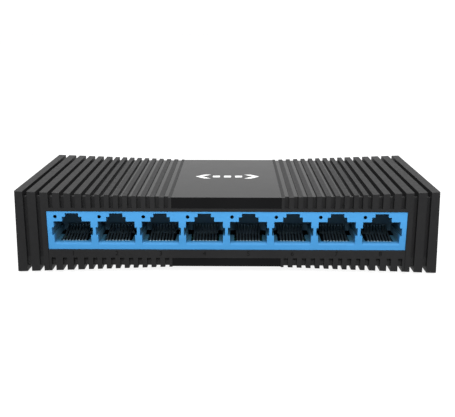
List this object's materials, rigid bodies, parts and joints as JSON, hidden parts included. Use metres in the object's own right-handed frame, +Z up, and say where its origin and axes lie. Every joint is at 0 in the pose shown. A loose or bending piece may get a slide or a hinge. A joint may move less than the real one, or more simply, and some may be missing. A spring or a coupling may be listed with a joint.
{
  "type": "desktop network switch",
  "caption": "Low black desktop network switch with dished ribbed case, a blue row of modular sockets in front and a barrel power inlet behind.",
  "frame": {"origin": "centre of the bounding box at the level of the feet", "axes": "+Z up, +X along the row of sockets, sockets face -Y"},
  "size_m": [0.1344, 0.0594, 0.0273],
  "materials": {
    "case_black": "fine moulded texture, satin",
    "port_blue": "smooth moulded plastic",
    "carrier_blue": "smooth moulded plastic",
    "contact_metal": "plated phosphor bronze",
    "lead_tin": "tinned",
    "board_green": "solder mask over glass fibre laminate",
    "chip_black": "moulded epoxy",
    "transformer_black": "moulded shell",
    "crystal_steel": "drawn can",
    "capacitor_can": "sleeved can",
    "ferrite": "sintered ferrite",
    "ceramic_tan": "fired ceramic",
    "resistor_black": "film resistor",
    "jack_black": "moulded",
    "jack_metal": "nickel plated brass",
    "led_green": "tinted clear epoxy, unlit",
    "pipe_clear": "clear acrylic",
    "screw_steel": "zinc plated",
    "foot_rubber": "moulded elastomer",
    "label_white": "printed film without any text"
  },
  "bodies": {
    "switch": {"top_cover": "case_black", "bottom_cover": "case_black", "port_block": "port_blue", "contact_leads": "contact_metal", "light_pipes": "pipe_clear", "status_led_leads": "lead_tin", "main_board": "board_green", "switch_chip": "chip_black", "switch_chip_leads": "lead_tin", "transformer_leads": "lead_tin", "crystal": "crystal_steel", "electrolytic_capacitors": "capacitor_can", "power_inductor": "ferrite", "voltage_regulator": "chip_black", "input_diode": "chip_black", "ceramic_capacitors": "ceramic_tan", "chip_resistors": "resistor_black", "dc_jack_body": "jack_black", "dc_jack_pin": "jack_metal", "dc_jack_terminals": "jack_metal", "power_led": "led_green", "power_led_leads": "lead_tin", "case_screws": "screw_steel", "board_screws": "screw_steel", "rating_label": "label_white", "port_1_contact_carrier": "carrier_blue", "port_1_status_led": "led_green", "port_2_contact_carrier": "carrier_blue", "port_2_status_led": "led_green", "port_3_contact_carrier": "carrier_blue", "port_3_status_led": "led_green", "port_4_contact_carrier": "carrier_blue", "port_4_status_led": "led_green", "port_5_contact_carrier": "carrier_blue", "port_5_status_led": "led_green", "port_6_contact_carrier": "carrier_blue", "port_6_status_led": "led_green", "port_7_contact_carrier": "carrier_blue", "port_7_status_led": "led_green", "port_8_contact_carrier": "carrier_blue", "port_8_status_led": "led_green", "isolation_transformer_1": "transformer_black", "isolation_transformer_2": "transformer_black", "isolation_transformer_3": "transformer_black", "isolation_transformer_4": "transformer_black", "foot_front_left": "foot_rubber", "foot_front_right": "foot_rubber", "foot_rear_left": "foot_rubber", "foot_rear_right": "foot_rubber"},
    "port_1_springs": {"port_1_contacts": "contact_metal"},
    "port_2_springs": {"port_2_contacts": "contact_metal"},
    "port_3_springs": {"port_3_contacts": "contact_metal"},
    "port_4_springs": {"port_4_contacts": "contact_metal"},
    "port_5_springs": {"port_5_contacts": "contact_metal"},
    "port_6_springs": {"port_6_contacts": "contact_metal"},
    "port_7_springs": {"port_7_contacts": "contact_metal"},
    "port_8_springs": {"port_8_contacts": "contact_metal"},
    "inlet_spring": {"dc_jack_spring": "jack_metal"}
  },
  "joints": [
    {"name": "port_1_contact_flex", "type": "hinge", "parent": "switch", "child": "port_1_springs", "pos_m": [-0.0489, -0.02673, 0.0103], "axis": [1, 0, 0], "range_deg": [-9, 0], "stiffness_Nm_per_rad": 0.02},
    {"name": "port_2_contact_flex", "type": "hinge", "parent": "switch", "child": "port_2_springs", "pos_m": [-0.03492, -0.02673, 0.0103], "axis": [1, 0, 0], "range_deg": [-9, 0], "stiffness_Nm_per_rad": 0.02},
    {"name": "port_3_contact_flex", "type": "hinge", "parent": "switch", "child": "port_3_springs", "pos_m": [-0.02096, -0.02673, 0.0103], "axis": [1, 0, 0], "range_deg": [-9, 0], "stiffness_Nm_per_rad": 0.02},
    {"name": "port_4_contact_flex", "type": "hinge", "parent": "switch", "child": "port_4_springs", "pos_m": [-0.00698, -0.02673, 0.0103], "axis": [1, 0, 0], "range_deg": [-9, 0], "stiffness_Nm_per_rad": 0.02},
    {"name": "port_5_contact_flex", "type": "hinge", "parent": "switch", "child": "port_5_springs", "pos_m": [0.00698, -0.02673, 0.0103], "axis": [1, 0, 0], "range_deg": [-9, 0], "stiffness_Nm_per_rad": 0.02},
    {"name": "port_6_contact_flex", "type": "hinge", "parent": "switch", "child": "port_6_springs", "pos_m": [0.02096, -0.02673, 0.0103], "axis": [1, 0, 0], "range_deg": [-9, 0], "stiffness_Nm_per_rad": 0.02},
    {"name": "port_7_contact_flex", "type": "hinge", "parent": "switch", "child": "port_7_springs", "pos_m": [0.03492, -0.02673, 0.0103], "axis": [1, 0, 0], "range_deg": [-9, 0], "stiffness_Nm_per_rad": 0.02},
    {"name": "port_8_contact_flex", "type": "hinge", "parent": "switch", "child": "port_8_springs", "pos_m": [0.0489, -0.02673, 0.0103], "axis": [1, 0, 0], "range_deg": [-9, 0], "stiffness_Nm_per_rad": 0.02},
    {"name": "inlet_contact_flex", "type": "hinge", "parent": "switch", "child": "inlet_spring", "pos_m": [0.045, 0.0186, 0.009], "axis": [1, 0, 0], "range_deg": [-5, 0], "stiffness_Nm_per_rad": 0.02}
  ]
}
